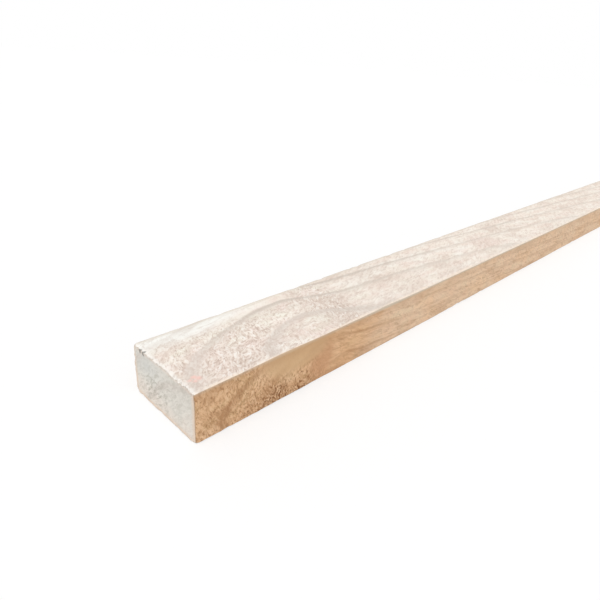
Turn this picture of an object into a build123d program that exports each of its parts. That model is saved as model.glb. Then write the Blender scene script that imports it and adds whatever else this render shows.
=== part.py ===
from build123d import *
import os

# A sawn softwood batten: one straight length of small rectangular section, cut square at both ends.
# It lies on its wide face. The origin is at the middle of that face, X runs along the grain,
# Y across the wide face and Z up. All sizes are in millimetres.

# Stock sizes
BATTEN_LENGTH = 1800.0
BATTEN_WIDTH = 47.0
BATTEN_THICKNESS = 25.0

# The long edges are dulled by the saw mill's rollers and by handling
ARRIS_RADIUS = 1.5

PARTS_FOLDER = "parts"


def sawn_section():
    """The section across the grain, with its lower face on the floor and its four arrises eased."""
    section_plane = Plane.YZ.offset(-BATTEN_LENGTH / 2)
    mid_height = Pos(0, BATTEN_THICKNESS / 2)
    return section_plane * mid_height * RectangleRounded(BATTEN_WIDTH, BATTEN_THICKNESS, ARRIS_RADIUS)


def batten():
    """The whole batten: the section run along the grain and cross-cut square at its stock length."""
    return extrude(sawn_section(), amount=BATTEN_LENGTH)


os.makedirs(PARTS_FOLDER, exist_ok=True)
export_step(batten(), os.path.join(PARTS_FOLDER, "batten.step"))
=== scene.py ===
import math

import bpy
from mathutils import Matrix, Vector


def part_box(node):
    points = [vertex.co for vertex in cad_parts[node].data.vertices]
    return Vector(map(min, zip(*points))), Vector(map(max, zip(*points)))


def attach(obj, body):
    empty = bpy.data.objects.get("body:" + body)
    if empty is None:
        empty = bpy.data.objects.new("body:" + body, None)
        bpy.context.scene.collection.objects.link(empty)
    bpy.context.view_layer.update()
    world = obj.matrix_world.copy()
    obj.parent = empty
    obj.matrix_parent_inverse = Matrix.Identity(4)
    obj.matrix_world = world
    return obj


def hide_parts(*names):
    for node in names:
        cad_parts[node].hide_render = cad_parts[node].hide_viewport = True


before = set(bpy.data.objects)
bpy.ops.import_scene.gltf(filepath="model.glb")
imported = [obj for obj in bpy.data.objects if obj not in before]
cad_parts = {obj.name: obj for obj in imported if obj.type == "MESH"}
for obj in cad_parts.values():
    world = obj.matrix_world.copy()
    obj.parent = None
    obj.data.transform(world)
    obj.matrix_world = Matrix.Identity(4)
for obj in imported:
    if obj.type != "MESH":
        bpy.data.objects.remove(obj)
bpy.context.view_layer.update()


# The batten is one straight length of fast-grown pine, sawn on four sides and cross-cut square at both ends.
# It is bare wood. The mill's rollers and handling have dulled its long edges. The saw has torn the fibres
# into a woolly nap wherever the grain dives, as it does round a branch that lay just under the surface.
batten_low, batten_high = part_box("batten")
LENGTH = batten_high.x - batten_low.x
WIDTH = batten_high.y - batten_low.y
THICKNESS = batten_high.z - batten_low.z
MILLIMETRE = 0.001
ARRIS_RADIUS = 1.5 * MILLIMETRE
END_EASE = 0.35 * MILLIMETRE
MATH_SOCKETS = ("Value", "Value_001", "Value_002")


class Wire:
    """A socket of a node tree. Sums and products of wires add their Math nodes to that tree."""

    def __init__(self, tree, socket=None):
        self.tree = tree
        self.socket = socket

    def node(self, kind, settings, sockets, output=0):
        """Adds a node with its settings, then the values or links of its sockets, and gives one output."""
        added = self.tree.nodes.new(kind)
        for name, setting in settings.items():
            setattr(added, name, setting)
        for name, value in sockets.items():
            socket = next(s for s in added.inputs if s.identifier == name)
            if isinstance(value, Wire):
                self.tree.links.new(value.socket, socket)
            else:
                socket.default_value = value
        return Wire(self.tree, added.outputs[output] if added.outputs else None)

    def beside(self, output):
        """Another output of the node that this wire comes from."""
        return Wire(self.tree, self.socket.node.outputs[output])

    def math(self, operation, *values):
        return self.node("ShaderNodeMath", {"operation": operation}, dict(zip(MATH_SOCKETS, values)))

    def __add__(self, other):
        return self.math("ADD", self, other)

    def __radd__(self, other):
        return self.math("ADD", other, self)

    def __sub__(self, other):
        return self.math("SUBTRACT", self, other)

    def __rsub__(self, other):
        return self.math("SUBTRACT", other, self)

    def __mul__(self, other):
        return self.math("MULTIPLY", self, other)

    def __rmul__(self, other):
        return self.math("MULTIPLY", other, self)

    def __truediv__(self, other):
        return self.math("DIVIDE", self, other)

    def __rtruediv__(self, other):
        return self.math("DIVIDE", other, self)

    def __abs__(self):
        return self.math("ABSOLUTE", self)


def least(first, *others):
    for other in others:
        first = first.math("MINIMUM", first, other)
    return first


def most(first, *others):
    for other in others:
        first = first.math("MAXIMUM", first, other)
    return first


def root(value):
    return value.math("SQRT", value)


def bell(offset, reach):
    """1 where the offset is 0, falling away on both sides over about the reach."""
    share = offset / reach
    return share.math("EXPONENT", share * share / -2)


def ease(value, start, end):
    """0 up to the start, 1 from the end on, and smooth between. It falls instead if the end comes first."""
    settings = {"interpolation_type": "SMOOTHSTEP"}
    return value.node("ShaderNodeMapRange", settings, {"Value": value, "From Min": start, "From Max": end})


def split(point):
    """How far along the grain, across the wide face and up a point is."""
    along = point.node("ShaderNodeSeparateXYZ", {}, {"Vector": point})
    return along, along.beside("Y"), along.beside("Z")


def joined(along, across, up):
    """The point that is so far along the grain, across the wide face and up."""
    return along.node("ShaderNodeCombineXYZ", {}, {"X": along, "Y": across, "Z": up})


def mottle(point, length, breadth, seed, detail=1.0, twist=0.0, bite=0.5):
    """Noise in marks of a length along the grain and a breadth across it. Bite sharpens its detail."""
    cell = (1 / length, 1 / breadth, 1 / breadth)
    cell_sockets = {"Vector": point, "Vector_001": cell}
    scaled = point.node("ShaderNodeVectorMath", {"operation": "MULTIPLY"}, cell_sockets)
    sockets = {
        "Vector": scaled,
        "W": seed,
        "Scale": 1.0,
        "Detail": detail,
        "Roughness": bite,
        "Distortion": twist,
    }
    return point.node("ShaderNodeTexNoise", {"noise_dimensions": "4D"}, sockets)


# The log that it was sawn from. Its heart lies below the front edge, so the rings cross the section aslant.
# They swell out round the branch, dip towards the shown end, sag near the core past the branch, and drift as
# the log tapers. A set of marks is a length along the grain, a breadth across it, and a seed.
HEART_ACROSS = -30 * MILLIMETRE
HEART_UP = -27.6 * MILLIMETRE
RING_WIDTH = 7.8 * MILLIMETRE
FIRST_RING = 57.9 * MILLIMETRE
BRANCH_PLACE = 76.5 * MILLIMETRE
BRANCH_BEFORE = 31 * MILLIMETRE
BRANCH_BEYOND = 17.5 * MILLIMETRE
BRANCH_SWELL = 5.1 * MILLIMETRE
END_DIP = 54 * MILLIMETRE
END_DIP_REACH = 90 * MILLIMETRE
END_DIP_CORE = 24 * MILLIMETRE
END_DIP_FADE = 43.5 * MILLIMETRE
CORE_SAG = 4.3 * MILLIMETRE
CORE_RADIUS = 53 * MILLIMETRE
CORE_FIRM_SHARE = 0.88
SAG_STRETCH = (105 * MILLIMETRE, 170 * MILLIMETRE)
LOG_TAPER = 0.11
TAPER_REACH = 700 * MILLIMETRE
LOG_SEED = 3.7
NOISE_MIDDLE = 0.5
WANDER = 2 * MILLIMETRE
WANDER_MARKS = (150 * MILLIMETRE, 40 * MILLIMETRE, LOG_SEED)
RIPPLE = 1.8 * MILLIMETRE
RIPPLE_MARKS = (14 * MILLIMETRE, 7 * MILLIMETRE, LOG_SEED)
RAY_SPREAD = 40 * MILLIMETRE
LATE_SLOW_BUILD = (0.42, 0.88)
LATE_SLOW_SHARE = 0.35
LATE_QUICK_BUILD = (0.68, 0.86)
LATE_STOP = (0.96, 0.86)
WOOL_MARKS = (4.5 * MILLIMETRE, 2.0 * MILLIMETRE, LOG_SEED + 7)
WOOL_DETAIL = 2.0
WOOL_BITE = 0.6
SLOPE_STEP = 1 * MILLIMETRE
LEVEL_GRAIN = 0.05
DIVING_GRAIN = 0.17


def fading(distance, reach):
    """1 at no distance, falling to about a third at each further reach."""
    return distance.math("EXPONENT", distance * (-1 / reach))


def from_shown_end(along):
    return along + LENGTH / 2


def from_heart(across, up):
    side = across - HEART_ACROSS
    rise = up - HEART_UP
    return root(side * side + rise * rise)


def ring_swell(shown, radius):
    """How far the rings stand out, by the distances from the shown end and from the heart."""
    before = least(shown - BRANCH_PLACE, 0.0) / BRANCH_BEFORE
    beyond = most(shown - BRANCH_PLACE, 0.0) / BRANCH_BEYOND
    branch = bell(before + beyond, 1.0) * BRANCH_SWELL
    dip = fading(shown, END_DIP_REACH) * fading(radius - END_DIP_CORE, END_DIP_FADE) * END_DIP
    taper = (1 - fading(shown, TAPER_REACH)) * (LOG_TAPER * TAPER_REACH)
    core = ease(radius, CORE_RADIUS, CORE_FIRM_SHARE * CORE_RADIUS)
    sag = ease(shown, *SAG_STRETCH) * core * CORE_SAG
    return branch - dip - taper - sag


def in_the_log(point):
    """A point as the fibres run: along the grain, out through the rings, and round the heart."""
    along, across, up = split(point)
    radius = from_heart(across, up)
    wander = (mottle(point, *WANDER_MARKS) - NOISE_MIDDLE) * WANDER
    ripple = (mottle(point, *RIPPLE_MARKS) - NOISE_MIDDLE) * RIPPLE
    outward = radius - ring_swell(from_shown_end(along), radius) + wander + ripple
    turn = along.math("ARCTAN2", up - HEART_UP, across - HEART_ACROSS) * RAY_SPREAD
    return joined(along, outward, turn)


def year_share(log_point):
    """How much of the year's ring lies inside a point, from 0 in spring to 1 at its end."""
    rings = (split(log_point)[1] - FIRST_RING) / RING_WIDTH
    return rings.math("FRACT", rings)


def late_wood(year):
    """The dense wood at the end of each year: it builds up slowly and stops sooner than it began."""
    slow_build = ease(year, *LATE_SLOW_BUILD) * LATE_SLOW_SHARE
    quick_build = ease(year, *LATE_QUICK_BUILD) * (1 - LATE_SLOW_SHARE)
    return (slow_build + quick_build) * ease(year, *LATE_STOP)


def wool(log_point):
    """The nap of torn fibres in tufts: low in its pits and high on its loose ends."""
    return mottle(log_point, *WOOL_MARKS, detail=WOOL_DETAIL, bite=WOOL_BITE)


def torn_grain(point):
    """1 where the fibres run out of the faces steeply and the saw tears them, 0 where they lie level."""
    along, across, up = split(point)
    shown = from_shown_end(along)
    radius = from_heart(across, up)
    dive = ring_swell(shown + SLOPE_STEP, radius) - ring_swell(shown - SLOPE_STEP, radius)
    return ease(abs(dive) / (2 * SLOPE_STEP), LEVEL_GRAIN, DIVING_GRAIN)


# The sawing gives the batten its outline from the stock's sizes. The arrises are dulled unevenly and the cut
# ends are barely eased. The saw's waves, the nap, the soft wood between the rings, the bruised arrises and
# the chipped ends are all taken inwards from the sawn faces.
STEPS_ALONG = 720
STEPS_ACROSS = 44
STEPS_UP = 24
CROWDED_ALONG = 0.85
CROWDED_ACROSS = 0.45
SAWING_SEED = 11.3
WEAR_LENGTH = 30 * MILLIMETRE
WEAR_BREADTH = 20 * MILLIMETRE
WEAR_DETAIL = 3.0
WEAR_LEAST = 0.15
WEAR_MORE = 0.5
SAW_WAVE = 0.15 * MILLIMETRE
SAW_WAVE_LENGTH = 60 * MILLIMETRE
SAW_WAVE_BREADTH = 14 * MILLIMETRE
NAP_DEPTH = 0.35 * MILLIMETRE
LEVEL_NAP = 0.3
RING_RELIEF = 0.12 * MILLIMETRE
EDGE_REACH = 2.2 * MILLIMETRE
DAMAGE_DETAIL = 2.0
BRUISE_DEPTH = 0.7 * MILLIMETRE
BRUISE_LENGTH = 9 * MILLIMETRE
BRUISE_BREADTH = 6 * MILLIMETRE
BRUISE_SEED_STEP = 5.0
BRUISE_EDGES = (0.55, 0.75)
CHIP_DEPTH = 0.9 * MILLIMETRE
CHIP_SIZE = 2.6 * MILLIMETRE
CHIP_SEED_STEP = 9.0
CHIP_EDGES = (0.45, 0.70)
CHIPS_ALL_ROUND = 0.25
BLUNT_DEPTH = 0.6 * MILLIMETRE

sawing = bpy.data.node_groups.new("batten_sawing", "GeometryNodeTree")
sawing.interface.new_socket(name="Batten", in_out="OUTPUT", socket_type="NodeSocketGeometry")
sawing_sizes = {
    "Length": ("NodeSocketFloat", LENGTH),
    "Width": ("NodeSocketFloat", WIDTH),
    "Thickness": ("NodeSocketFloat", THICKNESS),
    "Arris radius": ("NodeSocketFloat", ARRIS_RADIUS),
    "End ease": ("NodeSocketFloat", END_EASE),
    "Steps along": ("NodeSocketInt", STEPS_ALONG),
    "Steps across": ("NodeSocketInt", STEPS_ACROSS),
    "Steps up": ("NodeSocketInt", STEPS_UP),
    "Seed": ("NodeSocketFloat", SAWING_SEED),
}
sawing_keys = {}
for size_name, (size_kind, size_value) in sawing_sizes.items():
    size_socket = sawing.interface.new_socket(name=size_name, in_out="INPUT", socket_type=size_kind)
    sawing_keys[size_name] = size_socket.identifier

stock_length = Wire(sawing).node("NodeGroupInput", {}, {}, "Length")
stock_width = stock_length.beside("Width")
stock_thickness = stock_length.beside("Thickness")
half_length = stock_length / 2
half_width = stock_width / 2
half_thickness = stock_thickness / 2
arris_radius = stock_length.beside("Arris radius")
end_ease = stock_length.beside("End ease")
sawing_seed = stock_length.beside("Seed")


def crowded(place, half, share):
    """Crowds the mesh lines towards both ends of a side, where the wood is rounded and torn."""
    part = place / half
    bent = part.math("SINE", part * (math.pi / 2))
    return (part * (1 - share) + bent * share) * half


def held_within(place, limit):
    return most(least(place, limit), limit * -1)


stock = stock_length.node("GeometryNodeMeshCube", {}, {
    "Size": joined(stock_length, stock_width, stock_thickness),
    "Vertices X": stock_length.beside("Steps along"),
    "Vertices Y": stock_length.beside("Steps across"),
    "Vertices Z": stock_length.beside("Steps up"),
})
stock_along, stock_across, stock_up = split(stock_length.node("GeometryNodeInputPosition", {}, {}))
stock_along = crowded(stock_along, half_length, CROWDED_ALONG)
stock_across = crowded(stock_across, half_width, CROWDED_ACROSS)
stock_up = crowded(stock_up, half_thickness, CROWDED_ACROSS)

stock_point = joined(stock_along, stock_across, stock_up)
wear = mottle(stock_point, WEAR_LENGTH, WEAR_BREADTH, sawing_seed, detail=WEAR_DETAIL)
worn_radius = arris_radius * (WEAR_LEAST + wear * WEAR_MORE)
flat_across = held_within(stock_across, half_width - worn_radius)
flat_up = held_within(stock_up, half_thickness - worn_radius)
corner_across = stock_across - flat_across
corner_up = stock_up - flat_up
corner_square = most(abs(corner_across), abs(corner_up))
corner_round = root(corner_across * corner_across + corner_up * corner_up)
rounding = corner_square / most(corner_round, MILLIMETRE * MILLIMETRE)
short_of_ease = most(end_ease - (half_length - abs(stock_along)), 0.0)
end_loss = end_ease - root(most(end_ease * end_ease - short_of_ease * short_of_ease, 0.0))
eased_across = (flat_across + corner_across * rounding) * (1 - end_loss / half_width)
eased_up = (flat_up + corner_up * rounding) * (1 - end_loss / half_thickness) + half_thickness
eased_point = joined(stock_along, eased_across, eased_up)
eased = stock_length.node("GeometryNodeSetPosition", {}, {"Geometry": stock, "Position": eased_point})

skin_point = stock_length.node("GeometryNodeInputPosition", {}, {})
skin_along, skin_across, skin_up = split(skin_point)
to_wide = half_thickness - abs(skin_up - half_thickness)
to_narrow = half_width - abs(skin_across)
to_cut = half_length - abs(skin_along)
near_arris = ease(most(to_wide, to_narrow), EDGE_REACH, 0.0)
near_rim = ease(most(to_cut, least(to_wide, to_narrow)), EDGE_REACH, 0.0)
near_corner = ease(most(to_cut, to_wide, to_narrow), EDGE_REACH, 0.0)
on_top_rim = near_rim * ease(skin_up, half_thickness, half_thickness * 2)

skin_grain = in_the_log(skin_point)
wave = mottle(skin_point, SAW_WAVE_LENGTH, SAW_WAVE_BREADTH, sawing_seed) * SAW_WAVE
nap = (1 - wool(skin_grain)) * (LEVEL_NAP + torn_grain(skin_point) * (1 - LEVEL_NAP)) * NAP_DEPTH
soft_wood = (1 - late_wood(year_share(skin_grain))) * RING_RELIEF
bruise_seed = sawing_seed + BRUISE_SEED_STEP
bruises = mottle(skin_point, BRUISE_LENGTH, BRUISE_BREADTH, bruise_seed, detail=DAMAGE_DETAIL)
bruise_loss = ease(bruises, *BRUISE_EDGES) * near_arris * BRUISE_DEPTH
chips = mottle(skin_point, CHIP_SIZE, CHIP_SIZE, sawing_seed + CHIP_SEED_STEP, detail=DAMAGE_DETAIL)
chipped = near_rim * CHIPS_ALL_ROUND + on_top_rim * (1 - CHIPS_ALL_ROUND)
chip_loss = ease(chips, *CHIP_EDGES) * chipped * CHIP_DEPTH
cut_depth = wave + nap + soft_wood + bruise_loss + chip_loss + near_corner * BLUNT_DEPTH
outward = stock_length.node("GeometryNodeInputNormal", {}, {})
inward_sockets = {"Vector": outward, "Scale": cut_depth * -1}
inward = stock_length.node("ShaderNodeVectorMath", {"operation": "SCALE"}, inward_sockets)
sawn = stock_length.node("GeometryNodeSetPosition", {}, {"Geometry": eased, "Offset": inward})
sawn = stock_length.node("GeometryNodeSetShadeSmooth", {}, {"Geometry": sawn, "Shade Smooth": True})

# The sawn faces are laid flat side by side, so that their look can be stored in one square picture. The
# length is cut into rows, and each row holds its part of the top, the underside, the front and the back.
# The two cut ends come last.
LAYOUT_NAME = "OFBake"
LAYOUT_ROWS = 3
LAYOUT_GAP = 4 * MILLIMETRE


def by_face(value):
    """A point or direction, taken once for each whole face."""
    settings = {"data_type": "FLOAT_VECTOR", "domain": "FACE"}
    return split(value.node("GeometryNodeFieldOnDomain", settings, {"Value": value}))


def exceeds(first, second):
    """1 where the first is more than the second, 0 elsewhere."""
    return first.math("GREATER_THAN", first, second)


def sign(value):
    return value.math("SIGN", value)


face_along = by_face(skin_point)[0]
facing_along, facing_across, facing_up = by_face(outward)
row_length = stock_length / LAYOUT_ROWS
row_share = (face_along + half_length) / row_length
row = least(most(row_share.math("FLOOR", row_share), 0.0), LAYOUT_ROWS - 1)
wide_strip = stock_width + LAYOUT_GAP
narrow_strip = stock_thickness + LAYOUT_GAP
row_height = (wide_strip + narrow_strip) * 2
wide_lie = (1 - exceeds(facing_up, 0.0)) * wide_strip + half_width + skin_across * sign(facing_up)
narrow_lie = wide_strip * 2 + exceeds(facing_across, 0.0) * narrow_strip + half_thickness
narrow_lie = narrow_lie - (skin_up - half_thickness) * sign(facing_across)
is_wide = exceeds(abs(facing_up), abs(facing_across))
is_end = exceeds(abs(facing_along), most(abs(facing_across), abs(facing_up)))
long_reach = skin_along + half_length - row * row_length
long_lie = row * row_height + narrow_lie + (wide_lie - narrow_lie) * is_wide
end_reach = exceeds(facing_along, 0.0) * wide_strip + half_width + skin_across * sign(facing_along)
end_lie = row_height * LAYOUT_ROWS + skin_up
laid_reach = long_reach + (end_reach - long_reach) * is_end + LAYOUT_GAP
laid_lie = long_lie + (end_lie - long_lie) * is_end + LAYOUT_GAP / 2
laid_reach = laid_reach / (row_length + LAYOUT_GAP * 2)
laid_lie = laid_lie / (row_height * LAYOUT_ROWS + narrow_strip)
layout_settings = {"data_type": "FLOAT2", "domain": "CORNER"}
layout_sockets = {"Geometry": sawn, "Name": LAYOUT_NAME, "Value": joined(laid_reach, laid_lie, 0.0)}
sawn = stock_length.node("GeometryNodeStoreNamedAttribute", layout_settings, layout_sockets)


# The bare wood's look starts with where a point lies: on which face, how far from the shown end, and how near
# to the edges. The top's painted pale colour, which is painted light, wanders a little over the front arris,
# and the end's edge is ragged.
UPPER_PART = (0.4 * THICKNESS, 0.6 * THICKNESS)
FRONT_PART = (0.2 * WIDTH, -0.2 * WIDTH)
PALE_CREEP_STRETCH = (130, 165)
PALE_CREEP = 0.4 * MILLIMETRE
PALE_DIPS = ((48, 11), (121, 8))
PALE_DIP = 0.5 * MILLIMETRE
ARRIS_TURN = 0.3 * MILLIMETRE
RAGGED_MARKS = (1.8 * MILLIMETRE, 1.5 * MILLIMETRE, LOG_SEED + 1)
RAGGED_DETAIL = 2.0
RAGGED_DEPTH = 3.6 * MILLIMETRE
RAGGED_BELOW_TOP = (4 * MILLIMETRE, 1 * MILLIMETRE)
END_TURN = 0.4 * MILLIMETRE

bare_pine = bpy.data.materials.new("bare_pine")
bare_pine.use_nodes = True
bare_pine.node_tree.nodes.clear()
place = Wire(bare_pine.node_tree).node("ShaderNodeTexCoord", {}, {}, "Object")
along, across, up = split(place)
shown = from_shown_end(along)


def past(start, end):
    """0 up to one distance from the shown end and 1 from another on, both in millimetres."""
    return ease(shown, start * MILLIMETRE, end * MILLIMETRE)


def stretch(middle, reach, strength=1.0):
    """A soft stretch of the length, by its distance from the shown end and its reach, in millimetres."""
    return bell(shown - middle * MILLIMETRE, reach * MILLIMETRE) * strength


to_top = THICKNESS - up
to_front = across + WIDTH / 2
to_back = WIDTH / 2 - across
to_wide_face = least(to_top, up)
to_narrow_face = least(to_front, to_back)
to_cut_end = LENGTH / 2 - abs(along)
on_top = ease(up, *UPPER_PART)
on_front = ease(across, *FRONT_PART)
creep = past(*PALE_CREEP_STRETCH) * PALE_CREEP
for pale_dip in PALE_DIPS:
    creep = creep - stretch(*pale_dip, PALE_DIP)
on_wide = ease(to_narrow_face - to_wide_face + creep * on_front, -ARRIS_TURN, ARRIS_TURN)
ragged = (mottle(place, *RAGGED_MARKS, detail=RAGGED_DETAIL) - NOISE_MIDDLE) * RAGGED_DEPTH
end_lead = least(to_wide_face, to_narrow_face) - to_cut_end + ragged * ease(to_top, *RAGGED_BELOW_TOP)
on_end = ease(end_lead, -END_TURN, END_TURN)

# The torn fibres lie over each face in strokes. Where the grain dives, they stand in tufts that each lie
# their own way, and where it is level they are long wisps. On the cut ends they follow the saw aslant.
BRANCH_END = (96, 13)
END_SLANT = math.radians(42)
NARROW_CROWDING = 1.4
TUFT_SIZE = 7 * MILLIMETRE
TUFT_LIE_WIDE = math.radians(44)
TUFT_LIE_NARROW = math.radians(102)
TUFT_SPREAD_WIDE = math.radians(75)
TUFT_SPREAD_NARROW = math.radians(50)
TORN_STROKES = (3.1 * MILLIMETRE, 1.35 * MILLIMETRE, LOG_SEED + 3)
WISP_LIE_WIDE = math.radians(24)
WISP_LIE_NARROW = math.radians(-21)
WISP_STROKES = (6.5 * MILLIMETRE, 1.9 * MILLIMETRE, LOG_SEED + 11)
WISP_DETAIL = 2.0
BRANCH_TEARING = 30 * MILLIMETRE
BRANCH_TEARING_EDGES = (0.2, 0.7)
PIT_EDGES = (0.55, 0.25)
FIBRE_EDGES = (0.46, 0.76)
FUZZ_MARKS = (1.3 * MILLIMETRE, 1.3 * MILLIMETRE, LOG_SEED + 8)
FUZZ_TWIST = 0.5
SPECK_EDGES = (0.36, 0.26)
TUFT_PIT_EDGES = (0.5, 0.3)

grain = in_the_log(place)
torn_here = torn_grain(place) * (1 - stretch(*BRANCH_END) * (1 - on_wide))


def by_side(wide, narrow):
    """One value on the wide faces and another on the narrow ones."""
    return on_wide * wide + (1 - on_wide) * narrow


over_face = by_side(across, up)
crowding = by_side(1.0, NARROW_CROWDING)
with_end = up * math.sin(END_SLANT) - across * math.cos(END_SLANT)
over_end = up * math.cos(END_SLANT) + across * math.sin(END_SLANT)


def combed(lie, middle_along, middle_over, start, strokes, detail=1.0):
    """Strokes that lie over each long face at an angle to the grain, and aslant over the cut ends."""
    cosine = lie.math("COSINE", lie)
    sine = lie.math("SINE", lie)
    off_along = (along - middle_along) * crowding
    off_over = (over_face - middle_over) * crowding
    with_face = off_along * cosine + off_over * sine
    over_stroke = off_over * cosine - off_along * sine
    with_stroke = with_face + (with_end - with_face) * on_end
    over_stroke = over_stroke + (over_end - over_stroke) * on_end
    comb = joined(with_stroke, over_stroke, start * (1 - on_end) + shown * on_end)
    return mottle(comb, *strokes, detail=detail, twist=1.0)


tuft_sockets = {"Vector": place, "Scale": 1 / TUFT_SIZE}
tuft_cell = place.node("ShaderNodeVectorMath", {"operation": "SCALE"}, tuft_sockets)
tuft = place.node("ShaderNodeTexVoronoi", {}, {"Vector": tuft_cell, "Scale": 1.0}, "Position")
tuft_along, tuft_across, tuft_up = split(tuft)
tuft_turn, tuft_start = split(tuft.beside("Color"))[:2]
tuft_over = by_side(tuft_across, tuft_up)
tuft_lie = by_side(TUFT_LIE_WIDE, TUFT_LIE_NARROW)
tuft_lie = tuft_lie + (tuft_turn - NOISE_MIDDLE) * by_side(TUFT_SPREAD_WIDE, TUFT_SPREAD_NARROW)
torn_strokes = combed(tuft_lie, tuft_along * TUFT_SIZE, tuft_over * TUFT_SIZE, tuft_start, TORN_STROKES)
wisp_lie = by_side(WISP_LIE_WIDE, WISP_LIE_NARROW)
wisps = combed(wisp_lie, 0.0, 0.0, 0.0, WISP_STROKES, detail=WISP_DETAIL)
round_branch = bell(shown - BRANCH_PLACE, BRANCH_TEARING) * on_wide
stroke_share = most(torn_here, ease(round_branch, *BRANCH_TEARING_EDGES), on_end)
strokes = stroke_share * torn_strokes + (1 - stroke_share) * wisps
# The pits between the torn fibres are painted darker and the loose fibres paler: partly the nap's own colour,
# partly painted shade in the hollows and painted light on the tips.
pits = ease(strokes, *PIT_EDGES)
fibres = ease(strokes, *FIBRE_EDGES)
fuzz = mottle(place, *FUZZ_MARKS, twist=FUZZ_TWIST)
specks = ease(fuzz, *SPECK_EDGES)
tufts = wool(grain)
tuft_pits = ease(tufts, *TUFT_PIT_EDGES)

# The wood's own unevenness, which every face shares. The year's late wood shows as a line that is drawn broad
# or fine, streaks and clouds run with the grain, and patches and tints of cream and rose lie across it.
BROAD_BUILD = (0.63, 0.84)
BROAD_STOP = (0.97, 0.87)
FINE_BUILD = (0.74, 0.86)
FINE_STOP = (0.98, 0.88)
STREAK_MARKS = (30 * MILLIMETRE, 0.8 * MILLIMETRE, LOG_SEED + 4)
STREAK_DETAIL = 2.0
CLOUD_MARKS = (20 * MILLIMETRE, 4 * MILLIMETRE, LOG_SEED + 5)
CLOUD_DETAIL = 3.0
PATCH_MARKS = (22 * MILLIMETRE, 10 * MILLIMETRE, LOG_SEED + 6)
PATCH_DETAIL = 2.0
TINT_MARKS = (9 * MILLIMETRE, 6 * MILLIMETRE, LOG_SEED + 9)
CREAM_EDGES = (0.5, 0.7)
ROSE_EDGES = (0.5, 0.3)
LEVEL_TINT = 0.45
LINE_MARKS = (50 * MILLIMETRE, 9 * MILLIMETRE, LOG_SEED + 2)
LINE_VARIETY = 0.5

year = year_share(grain)
late = late_wood(year)
broad_late = ease(year, *BROAD_BUILD) * ease(year, *BROAD_STOP)
fine_late = ease(year, *FINE_BUILD) * ease(year, *FINE_STOP)
streaks = mottle(grain, *STREAK_MARKS, detail=STREAK_DETAIL)
clouds = mottle(grain, *CLOUD_MARKS, detail=CLOUD_DETAIL)
patches = mottle(place, *PATCH_MARKS, detail=PATCH_DETAIL)
tints = mottle(place, *TINT_MARKS)
tint_share = LEVEL_TINT + stroke_share * (1 - LEVEL_TINT)
creamy = ease(tints, *CREAM_EDGES) * tint_share
rose = ease(tints, *ROSE_EDGES) * tint_share
line_variety = (mottle(grain, *LINE_MARKS) - NOISE_MIDDLE) * LINE_VARIETY


def tone(red, green, blue):
    """A colour as it is seen, 0 to 255 for each part, as the light that Blender works with."""
    def light(part):
        share = part / 255
        return share / 12.92 if share <= 0.04045 else ((share + 0.055) / 1.055) ** 2.4
    return (light(red), light(green), light(blue), 1.0)


def blend(mask, below, above):
    """The colour below, turning to the one above it where the mask is 1."""
    sockets = {"Factor_Float": mask, "A_Color": below, "B_Color": above}
    return mask.node("ShaderNodeMix", {"data_type": "RGBA"}, sockets, 2)


def painted(colour, *layers):
    """A colour with layers over it, each a mask and a colour."""
    for mask, above in layers:
        colour = blend(mask, colour, above)
    return colour


def spots(cross, *marks):
    """Soft marks on a face. Each is a distance from the shown end and its reach, a place over the face and
    its reach there, in millimetres, and a strength."""
    drawn = []
    for along_middle, along_reach, cross_middle, cross_reach, strength in marks:
        cross_share = bell(cross - cross_middle * MILLIMETRE, cross_reach * MILLIMETRE)
        drawn.append(stretch(along_middle, along_reach, strength) * cross_share)
    return most(*drawn)


def broken(mark, mottling, share, start, end):
    """A soft mark with a mottled outline."""
    return ease(mark + (mottling - NOISE_MIDDLE) * share, start, end)


# The wide faces are painted pale, much paler than the narrow faces though it is one wood: their paleness is
# painted light, the wood drawn as if brightly lit, with pink, cream and rose in it. The ring lines arch round
# the branch, and the back corner of the shown end has bleached. Handling has left a salmon fleck and a few
# dull marks. The bright marks are painted glints, and the rounded arrises get a painted highlight along the
# front and painted shade along the back.
PALE_FACE = tone(249, 240, 228)
PINK_FACE = tone(242, 227, 214)
CREAM_FACE = tone(244, 239, 223)
ROSE_FACE = tone(243, 223, 213)
BLEACHED_FACE = tone(252, 251, 245)
DUSKY_FACE = tone(226, 210, 197)
SMOOTH_FACE = tone(230, 218, 211)
PALE_LATE = tone(212, 200, 188)
# The nap's pit and fibre colours are partly painted light: shade in its hollows, light on its loose ends. The
# pit colour also draws the streaks.
PALE_STREAK_AND_PIT_SHADE = tone(200, 179, 166)
PALE_LIT_FIBRE = tone(255, 252, 246)
SALMON_FLECK = tone(249, 206, 194)
# The next two are painted light on the rounded arrises: a highlight along the front, shade along the back.
ARRIS_HIGHLIGHT = tone(254, 237, 219)
BACK_ARRIS_SHADE = tone(226, 216, 202)
PINK_EDGES = (0.34, 0.66)
TINT_STRENGTH = 0.7
DUSKY_PATCH_EDGES = (0.5, 0.32)
DUSKY_PATCH_STRENGTH = 0.5
BRIGHT_PATCH_EDGES = (0.5, 0.68)
BRIGHT_PATCH_STRENGTH = 0.28
BLEACHED_CORNER = (10, 36, 22, 7, 1.0)
BLEACHED_OUTLINE = (0.5, 0.1, 0.75)
CALM_CORNER = (55, 34, 19, 6, 1.0)
CALM_OUTLINE = (0.5, 0.2, 0.8)
CALM_STRENGTH = 0.7
DUSKY_SPOTS = ((95, 15, -6, 18, 1.0), (30, 9, -18, 4, 1.0))
DUSKY_STRENGTH = 0.75
PINK_SPOTS = ((26, 32, -13, 12, 1.0), (270, 12, -3, 9, 1.3))
PINK_STRENGTH = 0.5
PINK_DULLING = 0.2
STAIN_OUTLINE = (0.6, 0.2, 1.1)
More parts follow.
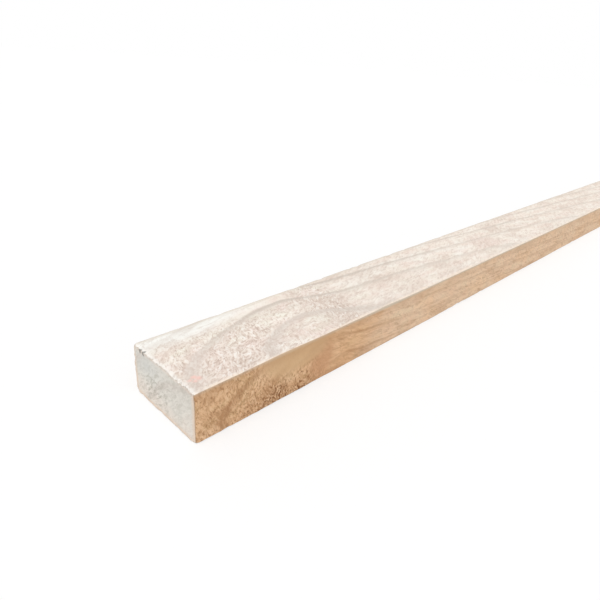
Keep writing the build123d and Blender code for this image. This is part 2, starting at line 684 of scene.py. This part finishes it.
DULL_MARKS = (
    (9, 7, 14, 3, 0.65),
    (147, 8, 2, 5, 1.0),
    (146, 8, 13, 5, 0.9),
    (201, 10, -9, 5, 0.8),
    (309, 12, 7, 7, 1.0),
    (306, 6, -13, 7, 1.0),
    (320, 9, -1, 5, 1.0),
    (202, 9, -19, 4, 0.9),
    (65, 8, -18, 4, 0.7),
)
DULL_OUTLINE = (0.8, 0.2, 1.1)
DULL_STRENGTH = 0.8
DULL_STRETCH = (148, 26, 0.22)
# Painted glints: bright spots of painted light on the top, each given like the marks.
PAINTED_GLINTS = (
    (49, 7, -14, 7, 0.8),
    (272, 22, 15, 4, 1.0),
    (292, 6, -5, 4, 1.3),
    (320, 8, -12, 4, 1.2),
    (268, 8, -19, 4, 0.9),
)
GLINT_OUTLINE = (0.8, 0.2, 1.0)
GLINT_STRENGTH = 0.8
FLECK_SMEARS = (
    (6.6, 1.1, -13.6, 1.0, 1.0),
    (8.0, 1.1, -15.2, 1.0, 1.0),
    (4.4, 1.0, -14.6, 0.9, 0.8),
    (5.6, 1.0, -16.2, 0.9, 0.8),
)
FLECK_OUTLINE = (0.8, 0.15, 0.95)
FLECK_STRENGTH = 0.8
WIDE_STREAK_EDGES = (0.5, 0.75)
WIDE_STREAK_STRENGTH = 0.35
FRONT_HALF = (8 * MILLIMETRE, 0.0)
BAND_STRENGTH = 0.25
BAND_IN_FRONT = 0.25
WIDE_LINE = 0.43
LINES_BY_BRANCH = (95, 45, 0.2)
OUTER_RINGS = (0.0, 10 * MILLIMETRE)
OUTER_LINES = 0.45
FAR_STRETCH = (150, 220)
OUTER_LINES_FADE = 0.2
FINE_LINES_FADE = 0.15
BRANCH_LEG = (101, 12, -10, 14, 0.75)
FINE_LINES_STRETCH = (92, 112)
FINE_LINES = 0.65
LINES_WORN_OFF = (6, 20, 19, 9, 0.8)
WIDE_NAP = 0.42
WIDE_TORN_NAP = 0.5
BRANCH_NAP = 0.4
LATE_CALM = 0.5
BAND_CALM = 0.45
BAND_CALM_IN_FRONT = 0.12
TUFT_BASE = 0.5
WIDE_QUIET_STRETCHES = ((8, 16, 0.15), (92, 22, 0.15))
WIDE_TUFT_PITS = 0.5
WIDE_PITS = 1.06
WIDE_FIBRES = 0.82
WIDE_SPECKS = 0.8
FRONT_HIGHLIGHT_BAND = (2.4 * MILLIMETRE, 1.0 * MILLIMETRE)
FRONT_HIGHLIGHT_EDGES = (-0.3, 0.3)
FRONT_HIGHLIGHT_STRENGTH = 0.9
BACK_SHADE_BAND = (2.8 * MILLIMETRE, 1.0 * MILLIMETRE)
BACK_SHADE_STRENGTH = 0.7

bleached = broken(spots(across, BLEACHED_CORNER), clouds, *BLEACHED_OUTLINE) * on_top
calm = broken(spots(across, CALM_CORNER), clouds, *CALM_OUTLINE) * on_top
dusky = broken(spots(across, *DUSKY_SPOTS), clouds, *STAIN_OUTLINE) * on_top
pinkish = broken(spots(across, *PINK_SPOTS), clouds, *STAIN_OUTLINE) * on_top
dull_marks = broken(spots(across, *DULL_MARKS), clouds, *DULL_OUTLINE) * on_top
glint_mask = broken(spots(across, *PAINTED_GLINTS), clouds, *GLINT_OUTLINE) * on_top
fleck = broken(spots(across, *FLECK_SMEARS), strokes, *FLECK_OUTLINE) * on_top

soft_band = broad_late * stroke_share
in_front = ease(across, *FRONT_HALF)
far_part = past(*FAR_STRETCH)
outer_lines = ease(across, *OUTER_RINGS) * (OUTER_LINES - far_part * OUTER_LINES_FADE)
wide_line = late * (WIDE_LINE + stretch(*LINES_BY_BRANCH) + outer_lines + line_variety)
branch_leg = broad_late * spots(across, BRANCH_LEG) * on_top
fine_lines = fine_late * past(*FINE_LINES_STRETCH) * (FINE_LINES - far_part * FINE_LINES_FADE)
wide_line = most(wide_line, branch_leg, fine_lines) * (1 - spots(across, LINES_WORN_OFF))

wide_nap = WIDE_NAP + most(torn_here, round_branch * BRANCH_NAP) * WIDE_TORN_NAP
wide_nap = wide_nap * (1 - calm * CALM_STRENGTH) * (TUFT_BASE + tufts)
wide_nap = wide_nap * (1 - most(late * LATE_CALM, soft_band * (BAND_CALM + in_front * BAND_CALM_IN_FRONT)))
for quiet_stretch in WIDE_QUIET_STRETCHES:
    wide_nap = wide_nap * (1 - stretch(*quiet_stretch))

# A painted highlight along the front arris of the wide faces, broken up by the clouds and the fuzz.
front_highlight = ease(to_front, *FRONT_HIGHLIGHT_BAND) * ease(clouds + fuzz - 2 * NOISE_MIDDLE, *FRONT_HIGHLIGHT_EDGES)
wide_colour = painted(
    PALE_FACE,
    (ease(clouds, *PINK_EDGES), PINK_FACE),
    (creamy * TINT_STRENGTH, CREAM_FACE),
    (rose * TINT_STRENGTH, ROSE_FACE),
    (ease(patches, *DUSKY_PATCH_EDGES) * DUSKY_PATCH_STRENGTH, DUSKY_FACE),
    (ease(patches, *BRIGHT_PATCH_EDGES) * BRIGHT_PATCH_STRENGTH, BLEACHED_FACE),
    (bleached, BLEACHED_FACE),
    # The bright marks are painted glints, light painted into the colour.
    (glint_mask * GLINT_STRENGTH, PALE_FACE),
    (pinkish * PINK_STRENGTH, ROSE_FACE),
    (most(dusky * DUSKY_STRENGTH, pinkish * PINK_DULLING, dull_marks * DULL_STRENGTH), DUSKY_FACE),
    (stretch(*DULL_STRETCH) * on_top, DUSKY_FACE),
    (ease(streaks, *WIDE_STREAK_EDGES) * WIDE_STREAK_STRENGTH, PALE_STREAK_AND_PIT_SHADE),
    (soft_band * (BAND_STRENGTH + in_front * BAND_IN_FRONT), SMOOTH_FACE),
    (wide_line, PALE_LATE),
    # The nap: pits painted darker and fibres paler, partly their own colour and partly painted shade and
    # light.
    (tuft_pits * wide_nap * WIDE_TUFT_PITS, PALE_STREAK_AND_PIT_SHADE),
    (pits * wide_nap * WIDE_PITS, PALE_STREAK_AND_PIT_SHADE),
    (fibres * wide_nap * WIDE_FIBRES, PALE_LIT_FIBRE),
    (specks * wide_nap * WIDE_SPECKS, PALE_STREAK_AND_PIT_SHADE),
    (fleck * FLECK_STRENGTH, SALMON_FLECK),
    (front_highlight * FRONT_HIGHLIGHT_STRENGTH, ARRIS_HIGHLIGHT),
    # Painted shade along the back arris of the wide faces, a darker, yellower band on the rounded edge.
    (ease(to_back, *BACK_SHADE_BAND) * BACK_SHADE_STRENGTH, BACK_ARRIS_SHADE),
)

# The narrow faces are painted a deeper tan than the wide faces, the same wood drawn as if in shade, so the
# split between them is painted light. They turn rosier away from the shown end. The front one has a
# slanting dark band, a cluster of torn pits, a smooth patch over the branch and a russet patch beyond it.
TAN_EDGE = tone(228, 186, 144)
ROSY_EDGE = tone(236, 207, 177)
OLIVE_EDGE = tone(220, 187, 142)
WHEAT_EDGE = tone(233, 210, 178)
BLUSH_EDGE = tone(232, 196, 166)
RUSSET_EDGE = tone(207, 159, 120)
SMOOTH_EDGE = tone(213, 177, 135)
SHADED_ARRIS = tone(208, 194, 174)
TAN_LATE = tone(180, 135, 95)
ROSY_LATE = tone(202, 167, 134)
# The pit and fibre tans are partly painted light: shade in the nap's hollows, light on its loose ends. The
# fibre tan also draws the pale patches.
TAN_PIT_SHADE = tone(150, 104, 66)
DEEP_PIT_SHADE = tone(112, 80, 50)
TAN_PATCH_AND_LIT_FIBRE = tone(243, 206, 168)
ROSY_STRETCH = (92 * MILLIMETRE, 132 * MILLIMETRE)
ROSY_RAGGED = 60 * MILLIMETRE
OLIVE_STRENGTH = 0.6
PALE_PATCH_EDGES = (0.52, 0.35)
PALE_PATCH_STRENGTH = 0.5
SMOOTH_SPOT = (55, 18, 22, 8.5, 1.0)
SMOOTH_OUTLINE = (0.35, 0.3, 0.7)
SMOOTH_STRENGTH = 0.8
RUSSET_SPOT = (72, 7, 13, 9, 1.0)
RUSSET_OUTLINE = (0.6, 0.2, 0.75)
RUSSET_STRENGTH = 0.9
ROUGH_SPOTS = ((43, 9, 2, 7, 1.0), (55, 11, 0, 7, 0.7), (29, 6, 6, 6, 0.55))
ROUGH_OUTLINE = (0.5, 0.25, 0.9)
ROUGH_STRENGTH = 0.75
PITTED_SPOT = (165, 40, 6, 5, 1.0)
PITTED_OUTLINE = (0.6, 0.2, 1.0)
PATCH_COVER = 0.75
PATCH_LINE_COVER = 0.8
NARROW_STREAK_EDGES = (0.45, 0.75)
NARROW_STREAK_STRENGTH = 0.5
NARROW_CLOUD_EDGES = (0.48, 0.68)
NARROW_CLOUD_STRENGTH = 0.55
NARROW_LINE = 0.45
FINE_LEG = (110, 30)
FINE_LEG_STRENGTH = 0.75
PAST_KNOT = (78, 93)
DARK_BAND = (18, 14, 0.8)
NARROW_NAP = 0.32
NARROW_TORN_NAP = 0.51
ROUGH_NAP = 1.3
SMOOTH_CALM = 0.9
RUSSET_CALM = 0.5
LINE_CALM = 0.6
QUIET_SPOT = (8, 6, 15, 8, 0.3)
NARROW_QUIET_STRETCH = (145, 25, 0.2)
NARROW_FAR_STRETCH = (190, 260)
NARROW_FAR_NAP = 0.2
NARROW_TUFT_PITS = 0.25
NARROW_PITS = 0.9
ROUGH_PITS = 0.4
NARROW_FIBRES = 0.8
ROUGH_FIBRE_LOSS = 0.1
DEEP_PIT_EDGES = (0.42, 0.3)
DEEP_PIT_STRENGTH = 0.45
NARROW_SPECKS = 0.8
PITTED_SPECKS = 0.6
TOP_SHADE = (8 * MILLIMETRE, 1 * MILLIMETRE)
TOP_SHADE_STRENGTH = 0.25
ARRIS_SHADE = (2.2 * MILLIMETRE, 0.6 * MILLIMETRE)
ARRIS_SHADE_STRETCH = (60, 130)
ARRIS_SHADE_NEAR = 0.35
ARRIS_SHADE_MORE = 0.6

smooth = broken(spots(up, SMOOTH_SPOT), clouds, *SMOOTH_OUTLINE) * on_front
russet = broken(spots(up, RUSSET_SPOT), clouds, *RUSSET_OUTLINE) * on_front
rough = broken(spots(up, *ROUGH_SPOTS), clouds, *ROUGH_OUTLINE) * on_front
pitted = broken(spots(up, PITTED_SPOT), clouds, *PITTED_OUTLINE) * on_front
patched = most(smooth, russet)
unmarked = 1 - patched * PATCH_COVER

fine_leg = stretch(*FINE_LEG) * on_front
clear_of_knot = most(past(*PAST_KNOT), 1 - on_front)
narrow_line = late * (NARROW_LINE + line_variety) * (1 - patched * PATCH_LINE_COVER)
narrow_line = most(narrow_line * (1 - fine_leg), fine_late * fine_leg * FINE_LEG_STRENGTH) * clear_of_knot
narrow_line = most(narrow_line, broad_late * stretch(*DARK_BAND) * on_front * (1 - smooth))

narrow_nap = NARROW_NAP + most(torn_here * NARROW_TORN_NAP, rough * ROUGH_NAP)
narrow_nap = narrow_nap * (1 - most(smooth * SMOOTH_CALM, russet * RUSSET_CALM))
narrow_nap = narrow_nap * (1 - narrow_line * LINE_CALM) * (TUFT_BASE + tufts)
narrow_nap = narrow_nap * (1 - spots(up, QUIET_SPOT)) * (1 - stretch(*NARROW_QUIET_STRETCH))
narrow_nap = narrow_nap * (1 + past(*NARROW_FAR_STRETCH) * NARROW_FAR_NAP)

rosy = ease(shown + (clouds - NOISE_MIDDLE) * ROSY_RAGGED, *ROSY_STRETCH)
near_tan = painted(TAN_EDGE, (creamy * OLIVE_STRENGTH, OLIVE_EDGE))
far_tan = painted(ROSY_EDGE, (creamy, WHEAT_EDGE), (rose, BLUSH_EDGE))
narrow_late = blend(rosy, TAN_LATE, ROSY_LATE)
arris_shade = ARRIS_SHADE_NEAR + past(*ARRIS_SHADE_STRETCH) * ARRIS_SHADE_MORE
narrow_colour = painted(
    blend(rosy, near_tan, far_tan),
    (ease(patches, *PALE_PATCH_EDGES) * PALE_PATCH_STRENGTH, TAN_PATCH_AND_LIT_FIBRE),
    (russet * RUSSET_STRENGTH, RUSSET_EDGE),
    (smooth * SMOOTH_STRENGTH, SMOOTH_EDGE),
    (ease(streaks, *NARROW_STREAK_EDGES) * unmarked * NARROW_STREAK_STRENGTH, narrow_late),
    (ease(clouds, *NARROW_CLOUD_EDGES) * unmarked * NARROW_CLOUD_STRENGTH, narrow_late),
    (narrow_line, narrow_late),
    (rough * ROUGH_STRENGTH, TAN_LATE),
    # The nap: pits painted darker and fibres paler, partly their own colour and partly painted shade and
    # light.
    (tuft_pits * narrow_nap * NARROW_TUFT_PITS, TAN_PIT_SHADE),
    (pits * narrow_nap * (NARROW_PITS + rough * ROUGH_PITS), TAN_PIT_SHADE),
    (fibres * narrow_nap * (NARROW_FIBRES - rough * ROUGH_FIBRE_LOSS), TAN_PATCH_AND_LIT_FIBRE),
    (ease(strokes, *DEEP_PIT_EDGES) * rough * DEEP_PIT_STRENGTH, DEEP_PIT_SHADE),
    (specks * most(narrow_nap * NARROW_SPECKS, pitted * PITTED_SPECKS), TAN_PIT_SHADE),
    (ease(to_top, *TOP_SHADE) * TOP_SHADE_STRENGTH, narrow_late),
    (ease(to_top, *ARRIS_SHADE) * arris_shade, SHADED_ARRIS),
)

# The cut ends are painted grey, the same wood drawn as if in shade, which is painted light. They are warmer
# towards the floor, bluish near the top of the back, and the shown one is pitted between. Fibres fray along
# their rims, and two nicks in the shown end's top edge are painted in as dark shade.
GREY_END = tone(217, 212, 203)
WARM_END = tone(226, 216, 206)
BLUE_END = tone(211, 210, 205)
END_LATE = tone(203, 194, 185)
END_RIM = tone(226, 204, 184)
# The end's pit and fibre colours are partly painted light: shade in the pores, light on the fibres.
END_PIT_SHADE = tone(166, 162, 146)
END_LIT_FIBRE = tone(238, 234, 224)
NICK_SHADE = tone(128, 126, 120)
WARM_PART = (14 * MILLIMETRE, 2 * MILLIMETRE)
WARM_RAGGED = 30 * MILLIMETRE
BLUE_ACROSS = (13 * MILLIMETRE, 8 * MILLIMETRE)
BLUE_UP = (19 * MILLIMETRE, 5 * MILLIMETRE)
BLUE_STRENGTH = 0.8
BLUE_CALM = 0.6
PITS_ACROSS = (7 * MILLIMETRE, 7 * MILLIMETRE)
PITS_UP = (12 * MILLIMETRE, 6 * MILLIMETRE)
SHOWN_HALF = (100 * MILLIMETRE, -100 * MILLIMETRE)
END_LINE = 0.4
END_FINE_LINE = 0.8
END_PITS = 0.26
END_PITS_MORE = 0.7
END_FIBRES = 0.38
END_FIBRES_MORE = 0.3
RIM_BELOW_TOP = 1 * MILLIMETRE
RIM_RAGGED = 0.4
RIM_WIDTHS = (3.2 * MILLIMETRE, 0.6 * MILLIMETRE)
RIM_STRENGTH = 0.8
FRINGE_RAGGED = 0.5
FRINGE_WIDTHS = (3.0 * MILLIMETRE, 1.0 * MILLIMETRE)
FRINGE_STRENGTH = 0.6
NICKS = ((0, 1.6, 17.5, 0.8, 1.0), (0, 1.3, 14.7, 0.7, 1.0))
NICK_DEPTH = 0.7 * MILLIMETRE
NICK_HEIGHT = 1.2 * MILLIMETRE
NICK_OUTLINE = (1.2, 0.35, 0.75)
NICK_SHADOW_STRENGTH = 0.75


def about(value, middle, reach):
    return bell(value - middle, reach)


blue_zone = about(across, *BLUE_ACROSS) * about(up, *BLUE_UP)
pit_zone = about(across, *PITS_ACROSS) * about(up, *PITS_UP) * ease(along, *SHOWN_HALF)
end_calm = 1 - blue_zone * BLUE_CALM
rim_depth = least(up, to_narrow_face, to_top + RIM_BELOW_TOP)
end_colour = painted(
    GREY_END,
    (ease(up + (patches - NOISE_MIDDLE) * WARM_RAGGED, *WARM_PART), WARM_END),
    (blue_zone * BLUE_STRENGTH, BLUE_END),
    (most(late * END_LINE, fine_late * END_FINE_LINE), END_LATE),
    # The end's pits are partly painted shade and its fibres partly painted light.
    (pits * (END_PITS + pit_zone * END_PITS_MORE) * end_calm, END_PIT_SHADE),
    (fibres * (END_FIBRES + pit_zone * END_FIBRES_MORE) * end_calm, END_LIT_FIBRE),
    (ease(rim_depth + ragged * RIM_RAGGED, *RIM_WIDTHS) * RIM_STRENGTH, END_RIM),
)
fringe = ease(to_cut_end + ragged * FRINGE_RAGGED, *FRINGE_WIDTHS) * on_wide * on_top
# The two nicks are painted shadow: a dark colour standing in for the shade inside two chips in the shown
# end's top edge.
nick_shadows = broken(spots(across, *NICKS) * about(to_top, NICK_DEPTH, NICK_HEIGHT), fuzz, *NICK_OUTLINE)

# The faces come together in one matt wood. Its strokes, streaks and late wood stand up a little, the strokes
# hardly at all on the smooth patch, and the dense late wood is a shade less rough than the rest.
STROKES_ON_SMOOTH = 0.2
STREAK_HEIGHT = 0.2
LATE_HEIGHT = 0.2
END_STROKE_HEIGHT = 0.4
BUMP_STRENGTH = 0.6
BUMP_DISTANCE = 0.8 * MILLIMETRE
WOOD_ROUGHNESS = 0.88
LATE_SHEEN = 0.12
WOOD_SHINE = 0.25

# The faces' split is painted light: one wood, drawn as if brightly lit on the wide faces and in shade on the
# narrow faces and the ends.
wood_colour = painted(
    blend(on_wide, narrow_colour, wide_colour),
    (fringe * FRINGE_STRENGTH, PALE_LIT_FIBRE),
    (on_end, end_colour),
    (nick_shadows * NICK_SHADOW_STRENGTH, NICK_SHADE),
)
stroke_height = by_side(wide_nap, narrow_nap) * (1 - smooth * (1 - STROKES_ON_SMOOTH))
face_height = strokes * stroke_height + streaks * STREAK_HEIGHT + late * LATE_HEIGHT
wood_height = face_height + (strokes * END_STROKE_HEIGHT - face_height) * on_end
bump_sockets = {"Strength": BUMP_STRENGTH, "Distance": BUMP_DISTANCE, "Height": wood_height}
wood = place.node("ShaderNodeBsdfPrincipled", {}, {
    "Base Color": wood_colour,
    "Roughness": WOOD_ROUGHNESS - late * LATE_SHEEN,
    "Specular IOR Level": WOOD_SHINE,
    "Normal": place.node("ShaderNodeBump", {}, bump_sockets),
})
place.node("ShaderNodeOutputMaterial", {}, {"Surface": wood})

# The finished batten is what the sawing leaves, all of it bare pine. It is made a plain mesh, lies where the
# stock lay, and stands for the whole solid.
whole = stock_length.node("GeometryNodeRealizeInstances", {}, {"Geometry": sawn})
whole = stock_length.node("GeometryNodeSetMaterial", {}, {"Geometry": whole, "Material": bare_pine})
stock_length.node("NodeGroupOutput", {}, {sawing.interface.items_tree["Batten"].identifier: whole})

batten = bpy.data.objects.new("sawn_batten", bpy.data.meshes.new("sawn_batten"))
bpy.context.scene.collection.objects.link(batten)
cutting = batten.modifiers.new("sawing", "NODES")
cutting.node_group = sawing
for size_name, (size_kind, size_value) in sawing_sizes.items():
    cutting[sawing_keys[size_name]] = size_value
cut_batten = batten.evaluated_get(bpy.context.evaluated_depsgraph_get())
plain_mesh = bpy.data.meshes.new_from_object(cut_batten)
batten.modifiers.clear()
batten.data = plain_mesh
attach(batten, "root")
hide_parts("batten")


# The floor is a plain white studio sheet that the batten lies on. It takes the batten's shadow, and to the
# camera it is washed out nearly to white.
FLOOR_HALF = 8.0
FLOOR_WHITE = tone(243, 243, 243)
WASH = 0.6
BARE_WHITE = (1.0, 1.0, 1.0, 1.0)


def straight_look(tree):
    """1 for what the camera sees, straight, reflected or through glass, and 0 for light on its way."""
    seen = Wire(tree).node("ShaderNodeLightPath", {}, {}, "Is Camera Ray")
    return most(seen, seen.beside("Is Glossy Ray"), seen.beside("Is Transmission Ray"))


floor_mesh = bpy.data.meshes.new("studio_floor")
floor_corners = [
    (-FLOOR_HALF, -FLOOR_HALF, 0.0),
    (FLOOR_HALF, -FLOOR_HALF, 0.0),
    (FLOOR_HALF, FLOOR_HALF, 0.0),
    (-FLOOR_HALF, FLOOR_HALF, 0.0),
]
floor_mesh.from_pydata(floor_corners, [], [(0, 1, 2, 3)])
studio_floor = bpy.data.objects.new("studio_floor", floor_mesh)
bpy.context.scene.collection.objects.link(studio_floor)
floor_sheet = bpy.data.materials.new("floor_sheet")
floor_sheet.use_nodes = True
floor_sheet.node_tree.nodes.clear()
floor_look = straight_look(floor_sheet.node_tree)
sheet_colour = blend(floor_look, FLOOR_WHITE, BARE_WHITE)
matt = floor_look.node("ShaderNodeBsdfDiffuse", {}, {"Color": sheet_colour})
glow = floor_look.node("ShaderNodeEmission", {}, {"Color": BARE_WHITE, "Strength": 1.0})
sheet_sockets = {"Fac": floor_look * WASH, "Shader": matt, "Shader_001": glow}
sheet = floor_look.node("ShaderNodeMixShader", {}, sheet_sockets)
floor_look.node("ShaderNodeOutputMaterial", {}, {"Surface": sheet})
floor_mesh.materials.append(floor_sheet)


# The light is a white room, and one broad lamp above the shown end, to the left of the camera.
# Faces that look up get about full light, and the narrow face somewhat less.
ROOM_LIGHT = 0.62
LAMP_LIGHT = 0.47
LAMP_SPREAD = math.radians(50)
LAMP_FROM = Vector((-0.6, -0.25, 1.0))

room = bpy.data.worlds.new("white_room")
bpy.context.scene.world = room
room.use_nodes = True
room.node_tree.nodes.clear()
room_look = straight_look(room.node_tree)
walls = room_look.node("ShaderNodeBackground", {}, {"Color": BARE_WHITE, "Strength": ROOM_LIGHT})
backdrop = room_look.node("ShaderNodeBackground", {}, {"Color": BARE_WHITE, "Strength": 1.0})
room_sockets = {"Fac": room_look, "Shader": walls, "Shader_001": backdrop}
room_mix = room_look.node("ShaderNodeMixShader", {}, room_sockets)
room_look.node("ShaderNodeOutputWorld", {}, {"Surface": room_mix})

lamp_data = bpy.data.lights.new("broad_lamp", "SUN")
lamp_data.energy = LAMP_LIGHT * math.pi
lamp_data.angle = LAMP_SPREAD
broad_lamp = bpy.data.objects.new("broad_lamp", lamp_data)
broad_lamp.rotation_mode = "QUATERNION"
broad_lamp.rotation_quaternion = LAMP_FROM.to_track_quat("Z", "Y")
bpy.context.scene.collection.objects.link(broad_lamp)


# The camera stands low over the front corner of the shown end and looks along the batten. It leans a little,
# and its lens is a moderate wide angle.
CAMERA_BEFORE_END = 81.5 * MILLIMETRE
CAMERA_IN_FRONT = 152.3 * MILLIMETRE
CAMERA_HEIGHT = 140.4 * MILLIMETRE
CAMERA_TURN = math.radians(43.647)
CAMERA_PITCH = math.radians(26.186)
CAMERA_ROLL = math.radians(-4.210)
CAMERA_LENS = 29.587
SENSOR_WIDTH = 36.0
NEAREST_SEEN = 10 * MILLIMETRE

camera_data = bpy.data.cameras.new("photo_camera")
camera_data.lens = CAMERA_LENS
camera_data.sensor_width = SENSOR_WIDTH
camera_data.clip_start = NEAREST_SEEN
photo_camera = bpy.data.objects.new("photo_camera", camera_data)
looking = Vector((
    math.cos(CAMERA_TURN) * math.cos(CAMERA_PITCH),
    math.sin(CAMERA_TURN) * math.cos(CAMERA_PITCH),
    -math.sin(CAMERA_PITCH),
))
level_right = Vector((math.sin(CAMERA_TURN), -math.cos(CAMERA_TURN), 0.0))
level_down = looking.cross(level_right)
camera_right = level_right * math.cos(CAMERA_ROLL) + level_down * math.sin(CAMERA_ROLL)
camera_up = camera_right.cross(looking)
turned = Matrix((camera_right, camera_up, -looking)).transposed().to_4x4()
stood = Matrix.Translation((batten_low.x - CAMERA_BEFORE_END, -CAMERA_IN_FRONT, CAMERA_HEIGHT))
photo_camera.matrix_world = stood @ turned
bpy.context.scene.collection.objects.link(photo_camera)
bpy.context.scene.camera = photo_camera
bpy.context.scene.view_settings.view_transform = "Standard"
